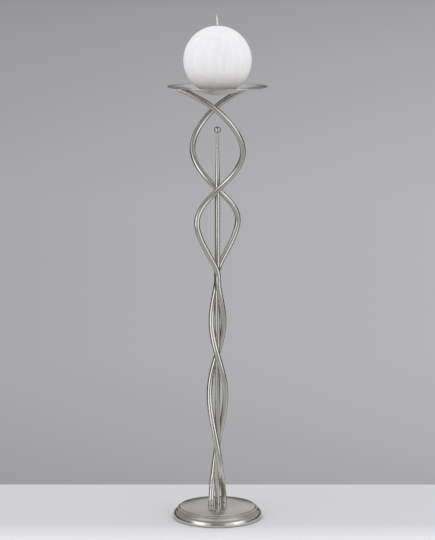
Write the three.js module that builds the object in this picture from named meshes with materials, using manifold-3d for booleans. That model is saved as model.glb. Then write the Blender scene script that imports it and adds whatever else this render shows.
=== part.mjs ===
// Torchere candle stand. A weighted round base carries a tapered centre rod with a ball on its
// tip. Two bent round bars weave about the rod: they swing out in two open loops, and below
// those they wind round it down to the base. A shallow dish is welded to their upper ends and
// holds a ball candle.
//
// Millimetres, +Z up, -Y towards the front. The origin is on the floor, on the stand's axis.

import * as THREE from 'three';
import { mergeVertices } from 'three/addons/utils/BufferGeometryUtils.js';
import Module from 'manifold-3d';

const manifoldLibrary = await Module();
manifoldLibrary.setup();

// ---------------------------------------------------------------- driving dimensions

const seatGap = 0.3; // left between a piece and the seat or hole that carries it

// Base
const baseHeight = 30.5; // floor to the flat middle of the cover
const seatRadius = 42; // flat middle of the cover, which carries the rod and the bars
const domeDrop = 3.3; // the top falls this much from its flat middle out to its edge
const topStep = 1; // sharp step down from the edge of the top to the shoulder
const shoulderRadius = 5.5; // quarter-round shoulder between the top and the riser
const beadRadius = 9; // half-round bead that runs round the foot of the cover
const beadReach = 102.5; // axis to the outermost line of the bead
const riserInset = 1.75; // the riser stands this far inside the middle of the bead
const coverWall = 1.2;
const coverFloorGap = 1; // the cover stops short of the floor, and the pad touches it

const padThickness = 2.5;
const padInset = 2; // inside the edge of the weight

const weightThickness = 15;
const weightClearance = 1.3; // round the weight, inside the riser
const weightBossInset = 1; // its raised middle, inside the flat middle of the cover

// Fasteners, up through the weight and the cover into the feet of the rod and the bars
const screwRadius = 2.9;
const screwHeadRadius = 5;
const screwHeadHeight = 5.6;
const screwSocketRadius = 2.9; // hexagon socket, across corners
const screwSocketDepth = 3;
const screwGrip = 12; // length of screw inside each foot
const washerRadius = 6.2;
const washerThickness = 1.6;
const counterboreRadius = 7.2;

// Centre rod and its ball
const rodRadius = 6;
const rodTipRadius = 3.1;
const rodTipDrop = 55.5; // tip of the rod, below where the bars cross over it
const rodTaperLength = 150; // the rod is drawn down smoothly to its tip over this length
const ballRadius = 7.75;
const studRadius = 1.5;
const studGrip = 5; // length of stud in the ball, and again in the rod

// Bent bars, from the foot up. Each place is a share of the way up from the base to the tip
// under the dish, a reach from the axis and a turn round it, in degrees from +X. Where no reach
// is given, the bar lies on the rod.
const barRadius = 6.35;
const footReach = 18.9;
const footTurn = 399.5;
const footLength = 16; // upright stretch at the foot, which the screw goes into
const ankle = { share: 0.0643, turn: 322 };
const frontCrossing = { share: 0.1417, reach: 16.5, turn: 270 };
const leftTurn = { share: 0.2682, reach: 18.8, turn: 167 };
const backCrossing = { share: 0.3654, reach: 14.5, turn: 90 };
const rightTurn = { share: 0.4532, reach: 14, turn: -11 };
const neckFoot = { share: 0.5378, turn: -83 };
const neckTop = { share: 0.5703, turn: -97 };
const lowerLoop = { share: 0.6801, reach: 55.5, turn: -146 };
const waist = { share: 0.7596, turn: -90 };
const upperLoop = { share: 0.8505, reach: 70, turn: -36 };
const upperCrossing = { share: 0.9509, reach: 73, turn: -90 };
const tipInset = 8; // inside the rim of the dish
const tipTurn = -143;

// Dish
const rimHeight = 990; // floor to the rim
const rimRadius = 112.5;
const dishWall = 2;
const bowlSphereRadius = 140; // underside of the bowl
const bowlEdgeRadius = 54; // where the bowl turns into the flange
const flangeSlope = 7.5; // degrees

// Candle
const candleRadius = 76.2;
const candleFootRadius = 10; // small flat that it stands on
const wickRadius = 1.9;
const wickLength = 28; // above the wax
const wickDepth = 12; // bore for the wick at the top of the wax
const wickLean = 3;

// Fineness of the round surfaces
const wideSegments = 56;
const candleSegments = 36;
const rodSegments = 20;
const smallSegments = 16;
const barSides = 12;
const barSteps = 96;

// Colours and finishes
const nickel = { color: 0x9c988c, roughness: 0.32, metalness: 1 };
const castIron = { color: 0x3c3b39, roughness: 0.75, metalness: 0.6 };
const zincSteel = { color: 0xb3b2ac, roughness: 0.4, metalness: 1 };
const felt = { color: 0x25262a, roughness: 1, metalness: 0 };
const wax = { color: 0xe9e9ee, roughness: 0.5, metalness: 0 };
const cotton = { color: 0xd9d3c3, roughness: 0.95, metalness: 0 };

// ---------------------------------------------------------------- derived places

const radians = THREE.MathUtils.degToRad;

function point(radius, height) {
  return new THREE.Vector2(radius, height);
}

const stemSeat = baseHeight + seatGap; // the rod and the bars stand here
const contactReach = rodRadius + barRadius + seatGap; // a bar against the rod
const tipReach = rimRadius - tipInset;

const rimRoll = dishWall / 2; // the rim is rounded
const rimMiddle = point(rimRadius - rimRoll, rimHeight - rimRoll);

// Height of the flange's underside at a distance from the axis.
function flangeUnderside(radius) {
  const slope = radians(flangeSlope);
  return rimMiddle.y + (radius - rimMiddle.x) * Math.tan(slope) - rimRoll / Math.cos(slope);
}

function heightOnBar({ share }) {
  return baseHeight + share * (flangeUnderside(tipReach) - baseHeight);
}

const rodTop = heightOnBar(upperCrossing) - rodTipDrop;

const beadMiddle = point(beadReach - beadRadius, coverFloorGap + beadRadius);
const riserRadius = beadMiddle.x - riserInset;
const topRadius = riserRadius - shoulderRadius; // domed top of the cover, out to its step
const weightRadius = riserRadius - coverWall - weightClearance;
const weightBossRadius = seatRadius - weightBossInset;
const padRadius = weightRadius - padInset;
const weightBottom = padThickness + seatGap;
const weightTop = weightBottom + weightThickness;
const bossTop = baseHeight - coverWall - seatGap;

const footBoreTop = stemSeat + screwGrip;
const screwTop = footBoreTop - seatGap;
const screwHeadBottom = weightBottom + seatGap;
const screwSeat = screwHeadBottom + screwHeadHeight;
const washerBottom = screwSeat + seatGap;
const counterboreTop = washerBottom + washerThickness + seatGap;
const clearanceRadius = screwRadius + seatGap;
const studHoleRadius = studRadius + seatGap;

// ---------------------------------------------------------------- small tools

// Points of an arc in a profile, both ends included, from one angle to another in degrees.
function arc(centre, radius, from, to, steps) {
  const points = [];
  for (let i = 0; i <= steps; i += 1) {
    const angle = radians(from + ((to - from) * i) / steps);
    points.push(point(centre.x + radius * Math.cos(angle), centre.y + radius * Math.sin(angle)));
  }
  return points;
}

// A closed body with shared corners and no empty triangles.
function closedBody(geometry) {
  const bare = geometry.index ? geometry.toNonIndexed() : geometry.clone();
  bare.deleteAttribute('normal');
  bare.deleteAttribute('uv');
  const merged = mergeVertices(bare);
  const corners = merged.index.array;
  const kept = [];
  for (let i = 0; i < corners.length; i += 3) {
    const [a, b, c] = [corners[i], corners[i + 1], corners[i + 2]];
    if (a !== b && b !== c && c !== a) {
      kept.push(a, b, c);
    }
  }
  merged.setIndex(kept);
  return merged;
}

// Turns a profile of radius and height round the Z axis. The profile runs up the outside.
function turned(profile, segments) {
  const geometry = new THREE.LatheGeometry(profile, segments);
  geometry.rotateX(Math.PI / 2);
  return closedBody(geometry);
}

function cylinder(radius, bottom, top, segments) {
  return turned([point(0, bottom), point(radius, bottom), point(radius, top), point(0, top)], segments);
}

function toSolid(geometry) {
  const body = closedBody(geometry);
  const mesh = new manifoldLibrary.Mesh({
    numProp: 3,
    vertProperties: new Float32Array(body.attributes.position.array),
    triVerts: new Uint32Array(body.index.array),
  });
  return new manifoldLibrary.Manifold(mesh);
}

function toGeometry(solid) {
  const mesh = solid.getMesh();
  const geometry = new THREE.BufferGeometry();
  geometry.setAttribute('position', new THREE.BufferAttribute(mesh.vertProperties, 3));
  geometry.setIndex(new THREE.BufferAttribute(mesh.triVerts, 1));
  return geometry;
}

function cut(geometry, ...cutters) {
  let solid = toSolid(geometry);
  for (const cutter of cutters) {
    solid = solid.subtract(toSolid(cutter));
  }
  return toGeometry(solid);
}

const assembly = new THREE.Group();

function add(name, geometry, finish) {
  const mesh = new THREE.Mesh(geometry, new THREE.MeshStandardMaterial(finish));
  mesh.name = name;
  assembly.add(mesh);
}

// ---------------------------------------------------------------- base

// Places on the floor plan where a screw goes up: the rod and the feet of the two bars.
function footPlace(turn) {
  return point(footReach * Math.cos(radians(turn)), footReach * Math.sin(radians(turn)));
}

const screwPlaces = {
  rod: point(0, 0),
  front: footPlace(footTurn),
  rear: footPlace(footTurn + 180),
};

function upright(place, radius, bottom, top) {
  const shaft = cylinder(radius, bottom, top, smallSegments);
  shaft.translate(place.x, place.y, 0);
  return shaft;
}

// The skin of the cover at a distance inside its outer face: bead, riser, shoulder, the step up
// to the top, and the top itself, which rises gently to its flat middle.
function coverSkin(inset, beadSteps, roundSteps) {
  const bead = beadRadius - inset;
  const riserLean = THREE.MathUtils.radToDeg(Math.acos((riserRadius - inset - beadMiddle.x) / bead));
  const shoulderMiddle = point(topRadius, baseHeight - domeDrop - topStep - shoulderRadius);
  const stepRadius = topRadius - inset;
  const domeRun = topRadius - seatRadius;
  const domeRadius = (domeRun ** 2 + domeDrop ** 2) / (2 * domeDrop);
  const domeMiddle = point(seatRadius, baseHeight - inset - domeRadius);
  const domeLean = THREE.MathUtils.radToDeg(Math.acos((stepRadius - seatRadius) / domeRadius));
  return [
    ...arc(beadMiddle, bead, -90, riserLean, beadSteps),
    ...arc(shoulderMiddle, shoulderRadius - inset, 0, 90, roundSteps),
    point(stepRadius, shoulderMiddle.y + shoulderRadius - inset),
    ...arc(domeMiddle, domeRadius, domeLean, 90, roundSteps),
    point(0, baseHeight - inset),
  ];
}

function baseCover() {
  const outside = coverSkin(0, 8, 3);
  const inside = coverSkin(coverWall, 4, 1).reverse();
  const shell = turned([...outside, ...inside, outside[0]], wideSegments);
  const holes = Object.values(screwPlaces).map((place) => (
    upright(place, clearanceRadius, 0, baseHeight + coverWall)
  ));
  return cut(shell, ...holes);
}

function baseWeight() {
  const disc = turned([
    point(0, weightBottom),
    point(weightRadius, weightBottom),
    point(weightRadius, weightTop),
    point(weightBossRadius, weightTop),
    point(weightBossRadius, bossTop),
    point(0, bossTop),
  ], wideSegments);
  const holes = [];
  for (const place of Object.values(screwPlaces)) {
    holes.push(upright(place, clearanceRadius, 0, baseHeight));
    holes.push(upright(place, counterboreRadius, 0, counterboreTop));
  }
  return cut(disc, ...holes);
}

function screw(place) {
  const body = turned([
    point(0, screwHeadBottom),
    point(screwHeadRadius, screwHeadBottom),
    point(screwHeadRadius, screwSeat),
    point(screwRadius, screwSeat),
    point(screwRadius, screwTop),
    point(0, screwTop),
  ], smallSegments);
  const socket = cylinder(screwSocketRadius, 0, screwHeadBottom + screwSocketDepth, 6);
  return cut(body, socket).translate(place.x, place.y, 0);
}

function washer(place) {
  const top = washerBottom + washerThickness;
  const ring = turned([
    point(clearanceRadius, washerBottom),
    point(washerRadius, washerBottom),
    point(washerRadius, top),
    point(clearanceRadius, top),
    point(clearanceRadius, washerBottom),
  ], smallSegments);
  return ring.translate(place.x, place.y, 0);
}

// ---------------------------------------------------------------- centre rod and ball

// Half the rod's thickness, a share of the way along its drawn-down end.
function taperRadius(share) {
  return rodTipRadius + (rodRadius - rodTipRadius) * (1 + Math.cos(Math.PI * share)) / 2;
}

function centreRod() {
  const taper = [];
  const taperSteps = 8;
  for (let i = 0; i <= taperSteps; i += 1) {
    const share = i / taperSteps;
    taper.push(point(taperRadius(share), rodTop - rodTaperLength * (1 - share)));
  }
  return turned([
    point(0, footBoreTop),
    point(clearanceRadius, footBoreTop),
    point(clearanceRadius, stemSeat),
    point(rodRadius, stemSeat),
    ...taper,
    point(studHoleRadius, rodTop),
    point(studHoleRadius, rodTop - studGrip - seatGap),
    point(0, rodTop - studGrip - seatGap),
  ], rodSegments);
}

const ballSeat = rodTop + seatGap;

function finialStud() {
  return cylinder(studRadius, rodTop - studGrip, ballSeat + studGrip, smallSegments);
}

// The ball stands on a small flat as wide as the rod's tip.
function ballFinial() {
  const flatAngle = THREE.MathUtils.radToDeg(Math.acos(rodTipRadius / ballRadius));
  const centre = point(0, ballSeat + ballRadius * Math.sin(radians(flatAngle)));
  const holeTop = ballSeat + studGrip + seatGap;
  return turned([
    point(0, holeTop),
    point(studHoleRadius, holeTop),
    point(studHoleRadius, ballSeat),
    ...arc(centre, ballRadius, -flatAngle, 90, 11),
  ], rodSegments);
}

// ---------------------------------------------------------------- dish

const bowlEdgeAngle = THREE.MathUtils.radToDeg(Math.asin(bowlEdgeRadius / bowlSphereRadius));
const bowlEdgeDrop = bowlSphereRadius * Math.cos(radians(bowlEdgeAngle));
const bowlCentre = point(0, flangeUnderside(bowlEdgeRadius) + bowlEdgeDrop);

function bowlArc(radius) {
  return arc(bowlCentre, radius, -90, bowlEdgeAngle - 90, 6);
}

function candleDish() {
  return turned([
    ...bowlArc(bowlSphereRadius),
    ...arc(rimMiddle, rimRoll, flangeSlope - 90, flangeSlope + 90, 4),
    ...bowlArc(bowlSphereRadius - dishWall).reverse(),
  ], wideSegments);
}

// Everything above the underside of the dish, which trims the tips of the bars to it.
function dishTrimmer() {
  const reach = rimRadius + barRadius;
  const outline = [
    ...bowlArc(bowlSphereRadius),
    point(reach, flangeUnderside(reach)),
    point(reach, rimHeight + barRadius),
    point(0, rimHeight + barRadius),
  ];
  return turned(outline, wideSegments).translate(0, 0, -seatGap);
}

// ---------------------------------------------------------------- bent bars

// Natural cubic spline: a function that runs smoothly through the values at the knots.
function naturalSpline(knots, values) {
  const last = knots.length - 1;
  const share = new Array(last + 1).fill(0);
  const rest = new Array(last + 1).fill(0);
  const bend = new Array(last + 1).fill(0);
  for (let i = 1; i < last; i += 1) {
    const before = knots[i] - knots[i - 1];
    const after = knots[i + 1] - knots[i];
    const turn = (values[i + 1] - values[i]) / after - (values[i] - values[i - 1]) / before;
    const pivot = 2 * (before + after) - before * share[i - 1];
    share[i] = after / pivot;
    rest[i] = (6 * turn - before * rest[i - 1]) / pivot;
  }
  for (let i = last - 1; i > 0; i -= 1) {
    bend[i] = rest[i] - share[i] * bend[i + 1];
  }
  return (knot) => {
    let i = 0;
    while (i < last - 1 && knot > knots[i + 1]) {
      i += 1;
    }
    const span = knots[i + 1] - knots[i];
    const a = (knots[i + 1] - knot) / span;
    const b = (knot - knots[i]) / span;
    const sag = ((a ** 3 - a) * bend[i] + (b ** 3 - b) * bend[i + 1]) * (span * span) / 6;
    return a * values[i] + b * values[i + 1] + sag;
  };
}

function pointOnBar(height, { reach = contactReach, turn }) {
  const angle = radians(turn);
  return new THREE.Vector3(reach * Math.cos(angle), reach * Math.sin(angle), height);
}

// Centreline of a bent bar, from inside the base up to its tip under the dish.
class BarCentreline extends THREE.Curve {
  constructor() {
    super();
    const foot = { reach: footReach, turn: footTurn };
    const tip = { share: 1, reach: tipReach, turn: tipTurn };
    const bends = [
      ankle, frontCrossing, leftTurn, backCrossing, rightTurn, neckFoot, neckTop,
      lowerLoop, waist, upperLoop, upperCrossing, tip,
    ];
    const points = [
      pointOnBar(baseHeight - footLength / 2, foot),
      pointOnBar(baseHeight + footLength, foot),
      ...bends.map((place) => pointOnBar(heightOnBar(place), place)),
    ];
    this.knots = [0];
    for (let i = 1; i < points.length; i += 1) {
      this.knots.push(this.knots[i - 1] + Math.sqrt(points[i].distanceTo(points[i - 1])));
    }
    this.along = ['x', 'y', 'z'].map((axis) => (
      naturalSpline(this.knots, points.map((place) => place[axis]))
    ));
  }

  // The bar lies on the rod where its curve would run into it.
  getPoint(t, target = new THREE.Vector3()) {
    const knot = t * this.knots[this.knots.length - 1];
    const [x, y, z] = this.along.map((spline) => spline(knot));
    const outwards = Math.max(contactReach / Math.hypot(x, y), 1);
    return target.set(x * outwards, y * outwards, z);
  }
}

// A bar is a round section swept along its centreline, trimmed to the dish above and to the
// base below, and bored for its screw. The rear bar is the front one turned half way round.
function bentBar() {
  const section = [];
  for (let i = 0; i < barSides; i += 1) {
    const angle = (2 * Math.PI * i) / barSides;
    section.push(point(barRadius * Math.cos(angle), barRadius * Math.sin(angle)));
  }
  const sweep = new THREE.ExtrudeGeometry(new THREE.Shape(section), {
    steps: barSteps,
    extrudePath: new BarCentreline(),
  });
  const below = new THREE.BoxGeometry(4 * barRadius, 4 * barRadius, footLength);
  below.translate(screwPlaces.front.x, screwPlaces.front.y, stemSeat - footLength / 2);
  const bore = upright(screwPlaces.front, clearanceRadius, 0, footBoreTop);
  return cut(sweep, dishTrimmer(), below, bore);
}

// ---------------------------------------------------------------- candle

const candleFootDrop = Math.sqrt(candleRadius ** 2 - candleFootRadius ** 2);
const bowlInside = bowlSphereRadius - dishWall;
const candleSeat = bowlCentre.y - Math.sqrt(bowlInside ** 2 - candleFootRadius ** 2);
const candleFoot = candleSeat + seatGap;
const candleCentre = point(0, candleFoot + candleFootDrop);
const wickHoleRadius = wickRadius + seatGap;
const candleTop = candleCentre.y + Math.sqrt(candleRadius ** 2 - wickHoleRadius ** 2);

function ballCandle() {
  const footAngle = -THREE.MathUtils.radToDeg(Math.acos(candleFootRadius / candleRadius));
  const holeAngle = THREE.MathUtils.radToDeg(Math.acos(wickHoleRadius / candleRadius));
  return turned([
    point(0, candleFoot),
    ...arc(candleCentre, candleRadius, footAngle, holeAngle, 20),
    point(wickHoleRadius, candleTop - wickDepth),
    point(0, candleTop - wickDepth),
  ], candleSegments);
}

// The wick stands straight in its bore, and leans over to the left above the wax.
function candleWick() {
  const foot = candleTop - wickDepth + seatGap;
  const route = new THREE.CatmullRomCurve3([
    new THREE.Vector3(0, 0, foot),
    new THREE.Vector3(0, 0, candleTop - wickDepth / 3),
    new THREE.Vector3(0, 0, candleTop + seatGap),
    new THREE.Vector3(-wickLean / 3, 0, candleTop + wickLength / 2),
    new THREE.Vector3(-wickLean, 0, candleTop + wickLength),
  ]);
  const section = new THREE.Shape().absarc(0, 0, wickRadius, 0, 2 * Math.PI);
  const sweep = new THREE.ExtrudeGeometry(section, { steps: 12, curveSegments: 5, extrudePath: route });
  return closedBody(sweep);
}

// ---------------------------------------------------------------- assembly

add('base_cover', baseCover(), nickel);
add('base_weight', baseWeight(), castIron);
add('base_pad', cylinder(padRadius, 0, padThickness, wideSegments), felt);
for (const [foot, place] of Object.entries(screwPlaces)) {
  add(`${foot}_screw`, screw(place), zincSteel);
  add(`${foot}_washer`, washer(place), zincSteel);
}
add('centre_rod', centreRod(), nickel);
add('finial_stud', finialStud(), zincSteel);
add('ball_finial', ballFinial(), nickel);
add('front_bar', bentBar(), nickel);
add('rear_bar', bentBar().rotateZ(Math.PI), nickel);
add('candle_dish', candleDish(), nickel);
add('ball_candle', ballCandle(), wax);
add('candle_wick', candleWick(), cotton);

export default assembly;
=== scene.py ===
"""Torchere candle stand: the finished pieces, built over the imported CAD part.

A weighted round base carries a centre rod with a ball on its tip. Two bent bars weave about
the rod and carry a shallow dish with a ball candle. Metres, +Z up, -Y towards the front.
"""

import math
from collections import namedtuple

import bpy
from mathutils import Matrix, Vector


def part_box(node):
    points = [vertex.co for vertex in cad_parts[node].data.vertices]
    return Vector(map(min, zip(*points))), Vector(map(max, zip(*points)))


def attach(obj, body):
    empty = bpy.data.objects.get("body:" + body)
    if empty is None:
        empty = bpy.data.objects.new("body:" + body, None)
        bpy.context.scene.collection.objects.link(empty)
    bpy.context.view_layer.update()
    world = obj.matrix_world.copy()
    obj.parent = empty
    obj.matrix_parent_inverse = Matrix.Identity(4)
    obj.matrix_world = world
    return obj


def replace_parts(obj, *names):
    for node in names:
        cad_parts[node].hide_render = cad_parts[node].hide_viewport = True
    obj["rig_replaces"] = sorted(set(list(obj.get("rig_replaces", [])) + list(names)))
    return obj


bl_info = {
    "name": "Torchere Candle Stand",
    "version": (1, 0, 0),
    "blender": (4, 5, 0),
    "location": "View3D > Sidebar > Candle Stand",
    "description": "Builds a torchere candle stand with woven bars, a dish and a ball candle",
    "category": "Add Mesh",
}

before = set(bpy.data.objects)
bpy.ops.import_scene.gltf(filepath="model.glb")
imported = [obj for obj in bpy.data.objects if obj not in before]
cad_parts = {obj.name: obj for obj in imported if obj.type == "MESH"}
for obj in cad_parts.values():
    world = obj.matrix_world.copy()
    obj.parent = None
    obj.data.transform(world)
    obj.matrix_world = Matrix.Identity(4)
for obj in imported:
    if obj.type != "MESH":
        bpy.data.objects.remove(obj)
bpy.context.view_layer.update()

MM = 0.001
SEAT_GAP = 0.3 * MM  # left between a piece and the seat or hole that carries it
MERGE_WITHIN = 0.002 * MM


def low(node):
    """Lowest corner of a CAD node's box."""
    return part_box(node)[0]


def high(node):
    """Highest corner of a CAD node's box."""
    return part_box(node)[1]


BASE_TOP = high("base_cover").z
STEM_SEAT = low("centre_rod").z
ROD_TIP = high("centre_rod").z
RIM_RADIUS = high("candle_dish").x
RIM_HEIGHT = high("candle_dish").z
CANDLE_FOOT = low("ball_candle").z


# ------------------------------------------------------------------ sizes and colours


def length(name, description, default):
    return bpy.props.FloatProperty(
        name=name, description=description, default=default, min=0.0, unit="LENGTH"
    )


def colour(name, description, default):
    return bpy.props.FloatVectorProperty(
        name=name, description=description, default=default, size=3, min=0.0, max=1.0,
        subtype="COLOR",
    )


class StandSizes(bpy.types.PropertyGroup):
    """Sizes of the metal stand."""

    bar_radius: length("Bar radius", "Half the thickness of a bent bar", 6.35 * MM)
    rod_radius: length("Rod radius", "Half the thickness of the centre rod", 6 * MM)
    rod_tip_radius: length("Rod tip radius", "Half the thickness of the rod at its tip", 3.1 * MM)
    rod_taper: length("Rod taper", "Length over which the rod is drawn down", 150 * MM)
    ball_radius: length("Ball radius", "Radius of the ball on the rod", 7.75 * MM)
    seat_radius: length("Seat radius", "Flat middle of the base's top", 42 * MM)
    disc_radius: length("Disc radius", "Edge of the base's domed top", 86.6 * MM)
    dome_drop: length("Dome drop", "Fall of the top from its flat middle to its edge", 4.9 * MM)
    step_width: length("Step width", "Sloped step round the top", 2.2 * MM)
    step_height: length("Step height", "Fall of the sloped step", 3.2 * MM)
    ledge_width: length("Ledge width", "Narrow ledge round the step", 2.8 * MM)
    ledge_fall: length("Ledge fall", "Fall of the ledge", 0.6 * MM)
    bead_reach: length("Bead reach", "Axis to the outermost line of the base", 102.5 * MM)
    bead_width: length("Bead width", "Breadth of the bead's curve at the foot", 13 * MM)
    bead_height: length("Bead height", "Height of the bead's curve at the foot", 15.5 * MM)
    foot_rise: length("Foot rise", "Upright foot under the bead", 2 * MM)
    cover_wall: length("Cover wall", "Thickness of the base's cover", 1.2 * MM)
    cover_lift: length("Cover lift", "Floor to the lowest line of the cover", 1 * MM)
    dish_wall: length("Dish wall", "Thickness of the dish", 2 * MM)
    bowl_sphere: length("Bowl sphere", "Radius of the bowl's underside", 140 * MM)
    bowl_edge: length("Bowl edge", "Where the bowl turns into the flange", 54 * MM)
    flange_slope: bpy.props.FloatProperty(
        name="Flange slope", description="Rise of the dish's flange", subtype="ANGLE",
        default=math.radians(7.5),
    )


class CandleSizes(bpy.types.PropertyGroup):
    """Sizes of the candle."""

    radius: length("Candle radius", "Radius of the ball candle", 76.2 * MM)
    foot_radius: length("Foot radius", "Small flat that the candle stands on", 10 * MM)
    wick_radius: length("Wick radius", "Half the thickness of the wick", 1.9 * MM)
    wick_depth: length("Wick depth", "Bore for the wick at the top of the wax", 12 * MM)


class StandFinishes(bpy.types.PropertyGroup):
    """Colours of the pieces."""

    nickel: colour("Satin nickel", "Plated metal of the stand", (0.6, 0.578, 0.515))
    wax: colour("Wax", "Candle wax", (0.83, 0.82, 0.83))
    cotton: colour("Cotton", "Wick", (0.78, 0.75, 0.68))
    felt: colour("Felt", "Pad under the base", (0.018, 0.019, 0.022))
    iron: colour("Cast iron", "Weight inside the base", (0.045, 0.043, 0.04))
    zinc: colour("Zinc plate", "Screws, washers and stud", (0.45, 0.44, 0.41))
    floor: colour("Floor", "Studio floor", (0.65, 0.65, 0.672))
    backdrop: colour("Backdrop", "Studio backdrop", (0.429, 0.429, 0.447))


# The bends of a bar from the foot up: a share of the way up from the base to the tip under the
# dish, a reach from the axis in millimetres, and a turn round it in degrees. With no reach, the
# bar lies on the rod.
BENDS = (
    (0.0643, None, 322),
    (0.1417, 16.5, 270),
    (0.2682, 18.8, 167),
    (0.3654, 14.5, 90),
    (0.4532, 14, -11),
    (0.5378, None, -83),
    (0.5703, None, -97),
    (0.6801, 55.5, -146),
    (0.7596, None, -90),
    (0.8505, 70, -36),
    (0.9509, 73, -90),
    (1, 104.5, -143),
)
FOOT_REACH = 18.9 * MM
FOOT_TURN = 399.5
FOOT_LENGTH = 16 * MM  # upright stretch at the foot

BEAD_TURN = 66  # degrees of the bead's curve, from the foot up

# The stage. A level is the brightness that a mirror would show there, where 1 is white. A rise
# is the upward part of a line of sight, from -1 straight down to 1 straight up.
FLOOR_SIZE = (3.4, 2)
FLOOR_END = 0.29  # its far edge
# Painted light: the floor is painted lighter towards the front and darker at the back, standing in
# for light that falls off towards the back.
FLOOR_PAINTED_LIGHT_SHARES = (0.96, 1.22)  # shares of its colour, at the back and in front
FLOOR_PAINTED_LIGHT_SPAN = (-0.06, -0.19)  # from here to here, going forward

# The backdrop from the floor's far edge up: a rise, and a share of the backdrop's colour there.
# A dark gap and a pale ceiling end it, which give the metal its streaks.
HORIZON = -0.2545
TONES_FROM = -0.4
BACKDROP_TONES = (
    (-0.2525, 0.83),
    (-0.244, 0.88),
    (-0.226, 0.93),
    (-0.194, 1.0),
    (-0.122, 1.0),
    (-0.085, 0.92),
    (-0.057, 0.86),
    (-0.032, 0.77),
    (0.02, 0.1),
    (0.14, 0.1),
    (0.24, 1.5),
    (0.6, 1.3),
    (1.0, 1.3),
)

# Seen in the metal alone, and never directly.
UNLIT_LEVELS = (0.2, 0.62)  # the studio beside the backdrop, low down and higher up
FRONT_LEVEL = 0.57  # the side in front of the stand
# Painted shade: where the metal shows it, the floor in front is painted down to this share of its
# colour.
FRONT_FLOOR_PAINTED_SHADE = 0.55  # the floor there
FAR_FLOOR_LEVEL = 0.7  # the floor past the edges of the slab
PANEL_TINT = (0.87, 0.91, 1.0)  # a pale panel on either side of the camera
PANEL_LEVEL = 1.02

# Lamps: a name, a place, what it faces, its width and height, and its level.
LAMPS = (
    ("left_box", (-2.01, -1.69, 0.9), (0, 0, 0.9), (1.5, 1.8), 1.13),
    ("right_box", (2.23, -1.39, 0.9), (0, 0, 0.9), (1.5, 1.8), 1.04),
    ("top_box", (0, 0.5, 3.0), (0, 0.5, 0), (3.6, 2.4), 0.42),
)
LAMP_TINT = (0.97, 0.985, 1.0)
PLAIN_LEVEL = 0.9  # all other light, from every side

CAMERA_PLACE = (0, -4.848, 1.328)
CAMERA_TILT = 8.84  # degrees down
CAMERA_LENS = 144.5  # on a sensor of the usual 36 mm


# ------------------------------------------------------------------ modelling by hand


def select_nothing():
    """Back in object mode with nothing selected."""
    if bpy.context.mode != "OBJECT":
        bpy.ops.object.mode_set(mode="OBJECT")
    bpy.ops.object.select_all(action="DESELECT")


def select_only(piece):
    """One piece selected and active, in object mode."""
    select_nothing()
    piece.select_set(True)
    bpy.context.view_layer.objects.active = piece


def edit_all():
    """Into edit mode with the whole mesh selected."""
    bpy.ops.object.mode_set(mode="EDIT")
    bpy.ops.mesh.select_all(action="SELECT")


def close_up():
    """Merges the doubles of the mesh in edit mode, and turns its faces outwards."""
    bpy.ops.mesh.select_all(action="SELECT")
    bpy.ops.mesh.remove_doubles(threshold=MERGE_WITHIN)
    bpy.ops.mesh.normals_make_consistent(inside=False)
    bpy.ops.object.mode_set(mode="OBJECT")


def start_from_a_corner(name, place):
    """A new mesh of one vertex: a small plane merged at its middle and moved to its place."""
    select_nothing()
    bpy.ops.mesh.primitive_plane_add(size=MM, location=(0, 0, 0))
    piece = bpy.context.object
    piece.name = piece.data.name = name
    edit_all()
    bpy.ops.mesh.merge(type="CENTER")
    bpy.ops.transform.translate(value=place)
    return piece


def draw_on(places):
    """Extrudes the last vertex through the places in turn."""
    before = Vector(places[0])
    for place in places[1:]:
        place = Vector(place)
        bpy.ops.mesh.extrude_vertices_move(TRANSFORM_OT_translate={"value": place - before})
        before = place


def turned_piece(name, profile, steps, closed=False):
    """Draws a profile of radius and height, and spins it round the Z axis.

    The profile starts and ends on the axis, unless it is closed on itself.
    """
    places = [(radius, 0, height) for radius, height in profile]
    piece = start_from_a_corner(name, places[0])
    draw_on(places)
    if closed:
        bpy.ops.mesh.select_all(action="SELECT")
        bpy.ops.mesh.edge_face_add()
        bpy.ops.mesh.delete(type="ONLY_FACE")
    bpy.ops.mesh.select_all(action="SELECT")
    bpy.ops.mesh.spin(steps=steps, angle=math.tau, center=(0, 0, 0), axis=(0, 0, 1))
    close_up()
    return piece


def swept_piece(name, route, radius, resolution):
    """Draws a route, and sweeps a round bar with flat ends along it."""
    start_from_a_corner(name, route[0])
    draw_on(route)
    bpy.ops.object.mode_set(mode="OBJECT")
    bpy.ops.object.convert(target="CURVE")
    curve = bpy.context.object.data
    curve.bevel_depth = radius
    curve.bevel_resolution = resolution
    curve.use_fill_caps = True
    bpy.ops.object.convert(target="MESH")
    bpy.ops.object.mode_set(mode="EDIT")
    close_up()
    return bpy.context.object


def smooth(piece, degrees):
    """Smooth shading, but for edges sharper than the angle."""
    select_only(piece)
    bpy.ops.object.shade_smooth_by_angle(angle=math.radians(degrees))


def apply_modifier(piece, kind, **settings):
    """Adds a modifier with its settings to a piece, and applies it."""
    select_only(piece)
    bpy.ops.object.modifier_add(type=kind)
    modifier = piece.modifiers[-1]
    for key, value in settings.items():
        setattr(modifier, key, value)
    bpy.ops.object.modifier_apply(modifier=modifier.name)


def cut_away(piece, cutter):
    """Cuts one shape from a piece, and removes it."""
    apply_modifier(piece, "BOOLEAN", operation="DIFFERENCE", solver="EXACT", object=cutter)
    bpy.data.objects.remove(cutter)


def finished(piece, body, slot, material, *nodes):
    """Dresses a finished piece, and sets it on its body in place of the CAD nodes."""
    piece.data.materials.clear()
    piece.data.materials.append(material)
    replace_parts(piece, *nodes)
    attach(piece, body)


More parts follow.
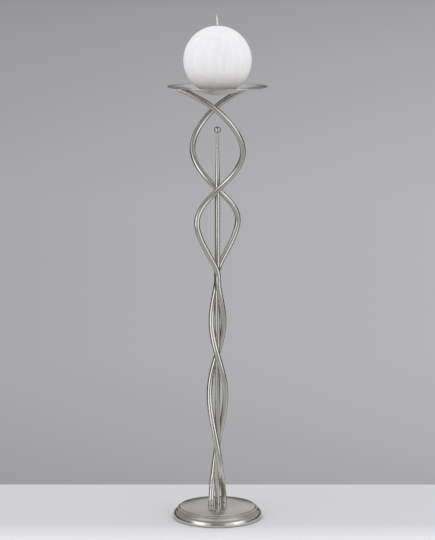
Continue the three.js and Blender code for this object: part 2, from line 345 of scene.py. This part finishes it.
def arc(centre, radius, start, end, steps):
    """Points of an arc in a profile, both ends included, from one angle to another."""
    turns = [math.radians(start + (end - start) * i / steps) for i in range(steps + 1)]
    return [
        (centre[0] + radius * math.cos(turn), centre[1] + radius * math.sin(turn))
        for turn in turns
    ]


# ------------------------------------------------------------------ materials


class Wiring:
    """Short ways to add nodes to a tree. A socket given as a value is linked."""

    def __init__(self, tree):
        self.tree = tree

    def add(self, kind, inputs=None, **settings):
        node = self.tree.nodes.new(kind)
        for key, value in settings.items():
            setattr(node, key, value)
        for socket, source in (inputs or {}).items():
            if isinstance(source, bpy.types.NodeSocket):
                self.tree.links.new(source, node.inputs[socket])
            else:
                node.inputs[socket].default_value = source
        return node

    def between(self, source, low_value, high_value, from_low=0.3, from_high=0.7):
        """Low value where the source is at or below from_low, high value from from_high up."""
        inputs = {0: source, 1: from_low, 2: from_high, 3: low_value, 4: high_value}
        return self.add("ShaderNodeMapRange", inputs).outputs[0]

    def math(self, operation, first, second=0.0):
        return self.add("ShaderNodeMath", {0: first, 1: second}, operation=operation).outputs[0]


class Nodes(Wiring):
    """A new node material and short ways to wire it."""

    def __init__(self, name):
        self.material = bpy.data.materials.new(name)
        self.material.use_nodes = True
        super().__init__(self.material.node_tree)
        self.shader = self.tree.nodes["Principled BSDF"]

    def place(self, scale=(1, 1, 1)):
        """Object coordinates in metres, stretched by scale."""
        coordinates = self.add("ShaderNodeTexCoord").outputs["Object"]
        inputs = {"Vector": coordinates, "Scale": scale}
        return self.add("ShaderNodeMapping", inputs).outputs["Vector"]

    def noise(self, vector, scale, detail=2.0, roughness=0.5):
        inputs = {"Vector": vector, "Scale": scale, "Detail": detail, "Roughness": roughness}
        return self.add("ShaderNodeTexNoise", inputs).outputs["Fac"]

    def mix(self, share, first, second):
        """A colour between two others. The node keeps its colours at sockets 6 and 7."""
        inputs = {0: share, 6: first, 7: second}
        return self.add("ShaderNodeMix", inputs, data_type="RGBA").outputs[2]

    def bump(self, height, distance, strength=1.0):
        inputs = {"Height": height, "Distance": distance, "Strength": strength}
        normal = self.add("ShaderNodeBump", inputs).outputs["Normal"]
        self.tree.links.new(normal, self.shader.inputs["Normal"])

    def wire(self, socket, source):
        """Links a source to a socket of the shader."""
        self.tree.links.new(source, self.shader.inputs[socket])

    def set(self, **values):
        """Sets values on the shader's own sockets. An underscore stands for a space."""
        for key, value in values.items():
            self.shader.inputs[key.replace("_", " ")].default_value = value


def tint(rgb, factor=1.0):
    """A colour made lighter or darker, with full alpha."""
    return tuple(min(1.0, part * factor) for part in rgb[:3]) + (1.0,)


def satin_nickel(name, rgb, roughness, grain=(1, 1, 1)):
    """Plated metal, finely brushed. The grain is drawn out along the axes of small scale."""
    nodes = Nodes(name)
    brushed = nodes.noise(nodes.place(grain), 160, 2, 0.5)
    cloud = nodes.noise(nodes.place(), 30, 2)
    nodes.wire("Base Color", nodes.mix(
        nodes.between(cloud, 0, 1), tint(rgb, 0.965), tint(rgb, 1.03)
    ))
    nodes.wire("Roughness", nodes.math(
        "ADD",
        nodes.between(brushed, -0.015, 0.015),
        nodes.between(cloud, roughness - 0.015, roughness + 0.02),
    ))
    nodes.bump(nodes.noise(nodes.place(), 24, 1), 0.15 * MM, 0.5)
    nodes.set(Metallic=1.0)
    return nodes.material


def candle_wax(rgb):
    """Pale wax with faint upright streaks, as it sets in the mould, and a little depth."""
    nodes = Nodes("candle_wax")
    streak = nodes.noise(nodes.place((1, 1, 0.09)), 130, 3, 0.6)
    blot = nodes.noise(nodes.place(), 26, 3)
    pale = nodes.mix(nodes.between(streak, 0, 1, 0.35, 0.65), tint(rgb, 0.94), tint(rgb, 1.02))
    cool = (rgb[0] * 0.985, rgb[1] * 0.99, rgb[2] * 1.01, 1.0)
    nodes.wire("Base Color", nodes.mix(nodes.between(blot, 0, 0.6), pale, cool))
    nodes.wire("Roughness", nodes.between(streak, 0.42, 0.56))
    nodes.bump(streak, 0.12 * MM, 0.5)
    nodes.set(IOR=1.44, Subsurface_Weight=0.6, Subsurface_Scale=14 * MM)
    nodes.set(Subsurface_Radius=(1.0, 0.85, 0.75))
    return nodes.material


def waxed_cotton(rgb):
    """Braided wick, waxed, and darker over the last 11 mm to its tip."""
    nodes = Nodes("waxed_cotton")
    place = nodes.place()
    wave = nodes.add("ShaderNodeTexWave", {
        "Vector": place, "Scale": 330, "Distortion": 3.0, "Detail": 1.0,
    }, wave_type="BANDS", bands_direction="DIAGONAL").outputs["Fac"]
    height = nodes.add("ShaderNodeSeparateXYZ", {0: place}).outputs["Z"]
    tip = high("candle_wick").z
    dark = nodes.between(height, 0, 0.75, tip - 11 * MM, tip - 1 * MM)
    strands = nodes.mix(wave, tint(rgb, 0.7), tint(rgb, 1.15))
    nodes.wire("Base Color", nodes.mix(dark, strands, tint((0.2, 0.17, 0.14))))
    nodes.wire("Roughness", nodes.between(wave, 0.6, 0.8))
    nodes.bump(wave, 0.15 * MM)
    return nodes.material


def pressed_felt(rgb):
    """Dark felt with a fine fibre."""
    nodes = Nodes("pressed_felt")
    fibres = nodes.noise(nodes.place(), 1500, 5, 0.7)
    nodes.wire("Base Color", nodes.mix(nodes.between(fibres, 0, 1), tint(rgb, 0.6), tint(rgb, 1.9)))
    nodes.bump(fibres, 0.4 * MM)
    nodes.set(Roughness=0.95, Sheen_Weight=0.4)
    return nodes.material


def raw_iron(rgb):
    """Rough casting with rust in places."""
    nodes = Nodes("raw_iron")
    skin = nodes.noise(nodes.place(), 420, 6, 0.65)
    rust = nodes.noise(nodes.place(), 34, 3)
    bare = nodes.mix(nodes.between(skin, 0, 1), tint(rgb, 0.7), tint(rgb, 1.4))
    nodes.wire("Base Color", nodes.mix(
        nodes.between(rust, 0, 0.5, 0.55, 0.75), bare, tint((0.09, 0.04, 0.02))
    ))
    nodes.wire("Roughness", nodes.between(skin, 0.62, 0.85))
    nodes.bump(skin, 0.5 * MM)
    nodes.set(Metallic=0.7)
    return nodes.material


def zinc_plate(rgb):
    """Zinc plate with a fine spangle."""
    nodes = Nodes("zinc_plate")
    spangle = nodes.add("ShaderNodeTexVoronoi", {
        "Vector": nodes.place(), "Scale": 520,
    }).outputs["Color"]
    grey = nodes.add("ShaderNodeRGBToBW", {0: spangle}).outputs[0]
    nodes.wire("Base Color", nodes.mix(grey, tint(rgb, 0.85), tint(rgb, 1.12)))
    nodes.wire("Roughness", nodes.between(grey, 0.28, 0.42, 0, 1))
    nodes.set(Metallic=1.0)
    return nodes.material


def finish_named(name):
    """A finish made before, or made now from the panel's colours."""
    known = bpy.data.materials.get(name)
    if known:
        return known
    finishes = bpy.context.scene.stand_finishes
    makers = {
        "nickel_bars": lambda: satin_nickel(name, finishes.nickel, 0.2, (1, 1, 0.12)),
        "nickel_rod": lambda: satin_nickel(name, finishes.nickel, 0.2, (1, 1, 0.05)),
        "nickel_turned": lambda: satin_nickel(name, finishes.nickel, 0.21),
        "candle_wax": lambda: candle_wax(finishes.wax),
        "waxed_cotton": lambda: waxed_cotton(finishes.cotton),
        "pressed_felt": lambda: pressed_felt(finishes.felt),
        "raw_iron": lambda: raw_iron(finishes.iron),
        "zinc_plate": lambda: zinc_plate(finishes.zinc),
    }
    return makers[name]()


# ------------------------------------------------------------------ shapes


DishShape = namedtuple("DishShape", "bowl_centre bowl_angle roll_centre roll_radius underside")


def dish_shape(sizes):
    """The circles of the dish's bowl and rolled rim, and the height of its flange's underside."""
    slope = sizes.flange_slope
    roll_radius = sizes.dish_wall / 2
    roll_centre = (RIM_RADIUS - roll_radius, RIM_HEIGHT - roll_radius)

    def underside(radius):
        rise = (radius - roll_centre[0]) * math.tan(slope)
        return roll_centre[1] + rise - roll_radius / math.cos(slope)

    bowl_angle = math.degrees(math.asin(sizes.bowl_edge / sizes.bowl_sphere))
    drop = sizes.bowl_sphere * math.cos(math.radians(bowl_angle))
    bowl_centre = (0, underside(sizes.bowl_edge) + drop)
    return DishShape(bowl_centre, bowl_angle, roll_centre, roll_radius, underside)


def natural_spline(knots, values):
    """A function that runs smoothly through the values at the knots."""
    last = len(knots) - 1
    share = [0.0] * (last + 1)
    rest = [0.0] * (last + 1)
    bend = [0.0] * (last + 1)
    for i in range(1, last):
        before, after = knots[i] - knots[i - 1], knots[i + 1] - knots[i]
        turn = (values[i + 1] - values[i]) / after - (values[i] - values[i - 1]) / before
        pivot = 2 * (before + after) - before * share[i - 1]
        share[i] = after / pivot
        rest[i] = (6 * turn - before * rest[i - 1]) / pivot
    for i in range(last - 1, 0, -1):
        bend[i] = rest[i] - share[i] * bend[i + 1]

    def value_at(knot):
        i = 0
        while i < last - 1 and knot > knots[i + 1]:
            i += 1
        span = knots[i + 1] - knots[i]
        a, b = (knots[i + 1] - knot) / span, (knot - knots[i]) / span
        sag = ((a**3 - a) * bend[i] + (b**3 - b) * bend[i + 1]) * span * span / 6
        return a * values[i] + b * values[i + 1] + sag

    return value_at


def bar_route(sizes, steps):
    """Places along the middle of a bent bar, from inside the base up to its tip."""
    contact = sizes.rod_radius + sizes.bar_radius + SEAT_GAP
    tip = dish_shape(sizes).underside(BENDS[-1][1] * MM)
    stops = [
        (BASE_TOP - FOOT_LENGTH / 2, FOOT_REACH, FOOT_TURN),
        (BASE_TOP + FOOT_LENGTH, FOOT_REACH, FOOT_TURN),
    ]
    for share, reach, turn in BENDS:
        distance = reach * MM if reach else contact
        stops.append((BASE_TOP + share * (tip - BASE_TOP), distance, turn))
    places = [
        Vector((reach * math.cos(math.radians(turn)), reach * math.sin(math.radians(turn)), height))
        for height, reach, turn in stops
    ]
    knots = [0.0]
    for before, after in zip(places, places[1:]):
        knots.append(knots[-1] + math.sqrt((after - before).length))
    along = [natural_spline(knots, [place[axis] for place in places]) for axis in range(3)]
    route = []
    for i in range(steps + 1):
        x, y, z = (value_at(knots[-1] * i / steps) for value_at in along)
        outwards = max(contact / math.hypot(x, y), 1)
        route.append(Vector((x * outwards, y * outwards, z)))
    return route


# ------------------------------------------------------------------ operators


class PieceOperator(bpy.types.Operator):
    """Common ground of the operators that make the pieces."""

    bl_options = {"REGISTER", "UNDO"}

    def execute(self, context):
        self.make(context.scene.stand_sizes, context.scene.candle_sizes)
        return {"FINISHED"}


class STAND_OT_base(PieceOperator):
    """Make the round cover of the base: domed top, step, narrow ledge and rounded foot"""

    bl_idname = "stand.base"
    bl_label = "Base cover"

    def skin(self, sizes):
        """Outline of the cover from its foot to the axis. Its edges are broken by 0.1 to 0.3 mm."""
        brim = BASE_TOP - sizes.dome_drop
        step_foot = sizes.disc_radius + sizes.step_width
        step_low = brim - sizes.step_height
        ledge_end = step_foot + sizes.ledge_width
        foot = sizes.cover_lift + sizes.foot_rise
        foot_edge = 0.5 * MM
        outline = [
            (sizes.bead_reach - foot_edge, sizes.cover_lift),
            (sizes.bead_reach, sizes.cover_lift + foot_edge),
        ]
        for degrees in range(0, BEAD_TURN + 1, 3):
            turn = math.radians(degrees)
            outline.append((
                sizes.bead_reach - sizes.bead_width * (1 - math.cos(turn)),
                foot + sizes.bead_height * math.sin(turn),
            ))
        outline += [
            (ledge_end + 0.2 * MM, step_low - sizes.ledge_fall - 0.2 * MM),
            (ledge_end - 0.15 * MM, step_low - sizes.ledge_fall + 0.1 * MM),
            (step_foot + 0.1 * MM, step_low),
            (step_foot, step_low + 0.1 * MM),
            (sizes.disc_radius + 0.15 * MM, brim - 0.2 * MM),
            (sizes.disc_radius - 0.2 * MM, brim),
        ]
        width = sizes.disc_radius - 0.6 * MM - sizes.seat_radius
        drop = sizes.dome_drop - 0.08 * MM
        steps = 18
        for i in range(steps):
            out = 1 - i / steps
            outline.append((sizes.seat_radius + width * out, BASE_TOP - drop * out**2))
        return [*outline, (sizes.seat_radius * 0.5, BASE_TOP), (0, BASE_TOP)]

    def inside(self, outline, wall):
        """The outline without its finest points, moved inwards by the thickness of the wall."""
        line = [Vector((outline[1][0], outline[0][1]))]
        for point in outline[2:]:
            if (Vector(point) - line[-1]).length > wall:
                line.append(Vector(point))
        line[-1] = Vector(outline[-1])
        moved = []
        for i, point in enumerate(line):
            before = (point - line[i - 1]).normalized() if i else Vector((0, 1))
            after = (line[i + 1] - point).normalized() if point is not line[-1] else before
            along = before + after
            step = 2 * wall / along.length_squared
            moved.append((point.x - along.y * step, point.y + along.x * step))
        moved[0] = (moved[0][0], outline[0][1])
        moved[-1] = (0, moved[-1][1])
        return moved

    def make(self, sizes, _candle):
        outside = self.skin(sizes)
        inside = self.inside(outside, sizes.cover_wall)
        shell = [*outside, *reversed(inside)]
        cover = turned_piece("base_cover_finished", shell, 192, closed=True)
        smooth(cover, 32)
        finished(cover, "stand", "satin_nickel", finish_named("nickel_turned"), "base_cover")


class STAND_OT_rod(PieceOperator):
    """Make the centre rod, drawn down to a thin tip, and the ball on it"""

    bl_idname = "stand.rod"
    bl_label = "Centre rod and ball"

    def make(self, sizes, _candle):
        rod, tip = sizes.rod_radius, sizes.rod_tip_radius
        edge = 0.4 * MM
        profile = [
            (0, STEM_SEAT),
            (rod - edge, STEM_SEAT),
            (rod, STEM_SEAT + edge),
        ]
        steps = 24
        for i in range(steps + 1):
            share = i / steps
            radius = tip + (rod - tip) * (1 + math.cos(math.pi * share)) / 2
            profile.append((radius, ROD_TIP - edge - sizes.rod_taper * (1 - share)))
        profile += [(tip - edge, ROD_TIP), (0, ROD_TIP)]
        shaft = turned_piece("centre_rod_finished", profile, 48)
        smooth(shaft, 40)
        finished(shaft, "stand", "satin_nickel", finish_named("nickel_rod"), "centre_rod")

        seat_angle = math.degrees(math.acos(tip / sizes.ball_radius))
        seat = low("ball_finial").z
        middle = (0, seat + sizes.ball_radius * math.sin(math.radians(seat_angle)))
        profile = [(0, seat), *arc(middle, sizes.ball_radius, -seat_angle, 90, 26)]
        ball = turned_piece("ball_finial_finished", profile, 48)
        smooth(ball, 60)
        finished(ball, "stand", "satin_nickel", finish_named("nickel_turned"), "ball_finial")


class STAND_OT_bars(PieceOperator):
    """Make the two bent bars: one is drawn, swept and trimmed, and the other is a turned copy"""

    bl_idname = "stand.bars"
    bl_label = "Bent bars"

    def trimmer(self, sizes):
        """Everything above the underside of the dish, less the seat gap."""
        dish = dish_shape(sizes)
        reach = RIM_RADIUS + sizes.bar_radius
        top = RIM_HEIGHT + sizes.bar_radius
        outline = [
            *arc(dish.bowl_centre, sizes.bowl_sphere, -90, dish.bowl_angle - 90, 16),
            (reach, dish.underside(reach)),
            (reach, top),
            (0, top),
        ]
        outline = [(radius, height - SEAT_GAP) for radius, height in outline]
        return turned_piece("dish_trimmer", outline, 144)

    def make(self, sizes, _candle):
        bar = swept_piece("front_bar_finished", bar_route(sizes, 420), sizes.bar_radius, 7)
        edit_all()
        bpy.ops.mesh.bisect(
            plane_co=(0, 0, STEM_SEAT), plane_no=(0, 0, 1), clear_inner=True, use_fill=True
        )
        close_up()
        cut_away(bar, self.trimmer(sizes))
        apply_modifier(bar, "BEVEL", width=0.8 * MM, segments=2, limit_method="ANGLE",
                       angle_limit=math.radians(50))
        smooth(bar, 40)
        finished(bar, "stand", "satin_nickel", finish_named("nickel_bars"), "front_bar")

        select_only(bar)
        bpy.ops.object.duplicate()
        rear = bpy.context.object
        rear.name = rear.data.name = "rear_bar_finished"
        del rear["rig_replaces"]  # the copy stands for its own node
        edit_all()
        bpy.ops.transform.rotate(value=math.pi, orient_axis="Z", center_override=(0, 0, 0))
        bpy.ops.object.mode_set(mode="OBJECT")
        finished(rear, "stand", "satin_nickel", finish_named("nickel_bars"), "rear_bar")


class STAND_OT_dish(PieceOperator):
    """Make the spun dish with its shallow bowl, wide flange and rolled rim"""

    bl_idname = "stand.dish"
    bl_label = "Candle dish"

    def make(self, sizes, _candle):
        shape = dish_shape(sizes)
        slope = math.degrees(sizes.flange_slope)
        inner = sizes.bowl_sphere - sizes.dish_wall
        edge = shape.bowl_angle - 90
        profile = [
            *arc(shape.bowl_centre, sizes.bowl_sphere, -90, edge, 22),
            *arc(shape.roll_centre, shape.roll_radius, slope - 90, slope + 90, 12),
            *arc(shape.bowl_centre, inner, edge, -90, 22),
        ]
        dish = turned_piece("candle_dish_finished", profile, 224)
        smooth(dish, 30)
        finished(dish, "stand", "satin_nickel", finish_named("nickel_turned"), "candle_dish")


class STAND_OT_candle(PieceOperator):
    """Make the ball candle with the well round its wick"""

    bl_idname = "stand.candle"
    bl_label = "Ball candle"

    def make(self, _sizes, candle):
        radius = candle.radius
        foot_angle = -math.degrees(math.acos(candle.foot_radius / radius))
        rise = -radius * math.sin(math.radians(foot_angle))
        middle = (0, CANDLE_FOOT + rise)
        hole = candle.wick_radius + SEAT_GAP
        hole_angle = math.degrees(math.acos(hole / radius))
        hole_foot = middle[1] + radius * math.sin(math.radians(hole_angle)) - candle.wick_depth
        profile = [
            (0, CANDLE_FOOT),
            *arc(middle, radius, foot_angle, hole_angle, 90),
            (hole, hole_foot),
            (0, hole_foot),
        ]
        ball = turned_piece("ball_candle_finished", profile, 160)
        smooth(ball, 50)
        finished(ball, "candle", "wax", finish_named("candle_wax"), "ball_candle")


class STAND_OT_wick(PieceOperator):
    """Make the wick, which leans over to the left above the wax"""

    bl_idname = "stand.wick"
    bl_label = "Wick"

    def make(self, _sizes, candle):
        lowest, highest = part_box("candle_wick")
        radius = candle.wick_radius
        lean = -lowest.x - radius
        wax_top = high("ball_candle").z
        free = highest.z - wax_top
        stops = [
            (0, lowest.z), (0, wax_top - candle.wick_depth / 3), (0, wax_top + SEAT_GAP),
            (-lean / 3, wax_top + free / 2), (-lean, highest.z - 0.25 * MM),
        ]
        sides, knots = zip(*stops)
        side_at = natural_spline(knots, sides)
        steps = 60
        route = []
        for i in range(steps + 1):
            height = knots[0] + (knots[-1] - knots[0]) * i / steps
            route.append((side_at(height), 0, height))
        wick = swept_piece("candle_wick_finished", route, radius * 0.93, 3)
        smooth(wick, 50)
        finished(wick, "candle", "cotton", finish_named("waxed_cotton"), "candle_wick")


class STAND_OT_hidden(PieceOperator):
    """Dress the pieces inside the base, which keep their CAD shapes"""

    bl_idname = "stand.hidden"
    bl_label = "Weight, pad and fasteners"

    def make(self, _sizes, _candle):
        finishes = {
            "base_weight": "raw_iron",
            "base_pad": "pressed_felt",
            "finial_stud": "zinc_plate",
        }
        for place in ("rod", "front", "rear"):
            finishes[f"{place}_screw"] = finishes[f"{place}_washer"] = "zinc_plate"
        for node, name in finishes.items():
            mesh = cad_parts[node].data
            mesh.materials.clear()
            mesh.materials.append(finish_named(name))


class STAND_OT_stage(PieceOperator):
    """Make the pale floor, the grey backdrop, the soft lights and the camera"""

    bl_idname = "stand.stage"
    bl_label = "Stage"

    def floor_paint(self, rgb):
        """Pale paint with painted light, brighter towards the front where more light falls, and
        painted shade: dimmer there where the metal shows it.
        """
        nodes = Nodes("floor_paint")
        place = nodes.place()
        speck = nodes.noise(place, 3, 2)
        forward = nodes.add("ShaderNodeSeparateXYZ", {0: place}).outputs["Y"]
        # Painted light: the floor's colour rises towards the front over this span.
        near, far = FLOOR_PAINTED_LIGHT_SPAN
        tone = nodes.between(forward, *reversed(FLOOR_PAINTED_LIGHT_SHARES), far, near)
        # Painted shade: seen in the metal, the floor in front is painted dimmer.
        in_metal = nodes.add("ShaderNodeLightPath").outputs["Is Glossy Ray"]
        painted_shade_in_metal = nodes.between(forward, FRONT_FLOOR_PAINTED_SHADE, 1, -0.32, -0.12)
        painted_shade_in_metal = nodes.math("MAXIMUM", painted_shade_in_metal, nodes.between(in_metal, 1, 0, 0, 1))
        plain = nodes.mix(nodes.between(speck, 0, 1), tint(rgb, 0.99), tint(rgb))
        inputs = {0: plain, 3: nodes.math("MULTIPLY", tone, painted_shade_in_metal)}
        paint = nodes.add("ShaderNodeVectorMath", inputs, operation="SCALE")
        nodes.wire("Base Color", paint.outputs[0])
        nodes.set(Roughness=0.9, Specular_IOR_Level=0.1)
        return nodes.material

    def floor(self, rgb):
        """The slab that the stand is on."""
        select_nothing()
        middle = (0, FLOOR_END - FLOOR_SIZE[1] / 2, 0)
        bpy.ops.mesh.primitive_plane_add(size=1, location=middle)
        slab = bpy.context.object
        slab.name = "floor"
        slab.scale = (*FLOOR_SIZE, 1)
        bpy.ops.object.transform_apply(location=True, rotation=True, scale=True)
        slab.data.materials.append(self.floor_paint(rgb))

    def lamp(self, name, place, aim, size, level):
        """A soft lamp, whose power gives its face the level."""
        light = bpy.data.lights.new(name, "AREA")
        light.shape = "RECTANGLE"
        light.size, light.size_y = size
        light.color = LAMP_TINT
        light.energy = level * math.pi * size[0] * size[1]
        lamp = bpy.data.objects.new(name, light)
        lamp.location = place
        lamp.rotation_euler = (Vector(aim) - Vector(place)).to_track_quat("-Z", "Y").to_euler()
        bpy.context.scene.collection.objects.link(lamp)

    def backdrop_tones(self, air, up, rgb, floor):
        """Colour by the rise of the line of sight: the floor's to the horizon, then the tones."""
        stops = [(TONES_FROM, floor, 1), (HORIZON, floor, 1)]
        stops += [(rise, rgb, level) for rise, level in BACKDROP_TONES]
        tones = air.add("ShaderNodeValToRGB", {0: air.between(up, 0, 1, TONES_FROM, 1)})
        elements = tones.color_ramp.elements
        while len(elements) < len(stops):
            elements.new(1)
        for element, (rise, _colour, _level) in zip(elements, stops):
            element.position = (rise - TONES_FROM) / (1 - TONES_FROM)
        for element, (_rise, own_colour, level) in zip(elements, stops):
            element.color = tint(own_colour, level)
        return tones.outputs["Color"]

    def level_in_metal(self, air, aside, away, up):
        """How bright the metal shows the backdrop: dim beside it and in front of the stand."""
        unlit = air.between(up, *UNLIT_LEVELS, -0.02, 0.12)
        behind = air.between(away, 1, unlit, 0.02, 0.16)
        beside = air.between(air.math("ABSOLUTE", aside), 1, unlit, 0.26, 0.4)
        lit = air.math("MAXIMUM", behind, beside)
        lit = air.math("MULTIPLY", lit, air.between(up, FAR_FLOOR_LEVEL, 1, -0.27, -0.252))
        in_front = air.between(away, FRONT_LEVEL, 1, -0.2, 0.2)
        on_floor = air.between(up, 1, 0, -0.27, -0.252)
        return air.math("MULTIPLY", lit, air.math("MAXIMUM", in_front, on_floor))

    def panels(self, air, aside, away, up):
        """1 on the pale panels on either side of the camera, 0 elsewhere, with soft edges."""
        breadth = air.math("ABSOLUTE", aside)
        inside = air.between(breadth, 0, 1, 0.28, 0.36)
        for edge in (
            air.between(away, 1, 0, -0.12, -0.02),
            air.between(breadth, 1, 0, 0.8, 0.88),
            air.between(up, 0, 1, -0.22, -0.12),
            air.between(up, 1, 0, 0.55, 0.7),
        ):
            inside = air.math("MINIMUM", inside, edge)
        return inside

    def studio_air(self, rgb, floor):
        """The backdrop, seen directly and in the metal, and a plain level for all other light."""
        world = bpy.data.worlds.new("studio_air")
        world.use_nodes = True
        air = Wiring(world.node_tree)
        line_of_sight = air.add("ShaderNodeTexCoord").outputs["Generated"]
        direction = air.add("ShaderNodeSeparateXYZ", {0: line_of_sight}).outputs
        aside, away, up = direction["X"], direction["Y"], direction["Z"]
        path = air.add("ShaderNodeLightPath").outputs
        direct = path["Is Camera Ray"]
        in_metal = air.math(
            "MULTIPLY", path["Is Glossy Ray"], air.between(path["Diffuse Depth"], 1, 0, 0, 1)
        )

        level = air.math("MAXIMUM", self.level_in_metal(air, aside, away, up), direct)
        backdrop = air.add("ShaderNodeBackground", {
            "Color": self.backdrop_tones(air, up, rgb, floor),
            "Strength": air.math("MULTIPLY", level, air.between(aside, 0.92, 1.08, -0.1, 0.1)),
        })
        panel = air.add("ShaderNodeBackground", {
            "Color": tint(PANEL_TINT), "Strength": PANEL_LEVEL,
        })
        seen = air.add("ShaderNodeMixShader", {
            0: air.math("MULTIPLY", self.panels(air, aside, away, up), in_metal),
            1: backdrop.outputs[0],
            2: panel.outputs[0],
        })
        plain = air.tree.nodes["Background"]
        plain.inputs["Color"].default_value = (1, 1, 1, 1)
        plain.inputs["Strength"].default_value = PLAIN_LEVEL
        both = air.add("ShaderNodeMixShader", {
            0: air.math("MAXIMUM", direct, in_metal), 1: plain.outputs[0], 2: seen.outputs[0],
        })
        surface = air.tree.nodes["World Output"].inputs["Surface"]
        air.tree.links.new(both.outputs[0], surface)
        return world

    def camera(self):
        """The camera in front of the stand, a little above its rim."""
        lens = bpy.data.cameras.new("camera")
        lens.lens = CAMERA_LENS
        lens.sensor_width = 36
        camera = bpy.data.objects.new("camera", lens)
        camera.location = CAMERA_PLACE
        camera.rotation_euler = (math.radians(90 - CAMERA_TILT), 0, 0)
        bpy.context.scene.collection.objects.link(camera)
        return camera

    def make(self, _sizes, _candle):
        scene = bpy.context.scene
        finishes = scene.stand_finishes
        self.floor(finishes.floor)
        for lamp in LAMPS:
            self.lamp(*lamp)
        scene.world = self.studio_air(finishes.backdrop, finishes.floor)
        scene.view_settings.view_transform = "Standard"
        scene.camera = self.camera()


class STAND_PT_panel(bpy.types.Panel):
    """Sizes, colours and makers of the candle stand."""

    bl_idname = "STAND_PT_panel"
    bl_label = "Candle Stand"
    bl_space_type = "VIEW_3D"
    bl_region_type = "UI"
    bl_category = "Candle Stand"

    def draw(self, context):
        for maker in MAKERS:
            self.layout.operator(maker.bl_idname)
        for group in ("stand_sizes", "candle_sizes", "stand_finishes"):
            box = self.layout.box()
            values = getattr(context.scene, group)
            for name in type(values).__annotations__:
                box.prop(values, name)


MAKERS = (
    STAND_OT_base,
    STAND_OT_rod,
    STAND_OT_bars,
    STAND_OT_dish,
    STAND_OT_candle,
    STAND_OT_wick,
    STAND_OT_hidden,
    STAND_OT_stage,
)
CLASSES = (StandSizes, CandleSizes, StandFinishes, *MAKERS, STAND_PT_panel)


def register():
    for each in CLASSES:
        bpy.utils.register_class(each)
    bpy.types.Scene.stand_sizes = bpy.props.PointerProperty(type=StandSizes)
    bpy.types.Scene.candle_sizes = bpy.props.PointerProperty(type=CandleSizes)
    bpy.types.Scene.stand_finishes = bpy.props.PointerProperty(type=StandFinishes)


def unregister():
    del bpy.types.Scene.stand_finishes
    del bpy.types.Scene.candle_sizes
    del bpy.types.Scene.stand_sizes
    for each in reversed(CLASSES):
        bpy.utils.unregister_class(each)


def main():
    register()
    for maker in MAKERS:
        group, name = maker.bl_idname.split(".")
        getattr(getattr(bpy.ops, group), name)()


if __name__ == "__main__":
    main()
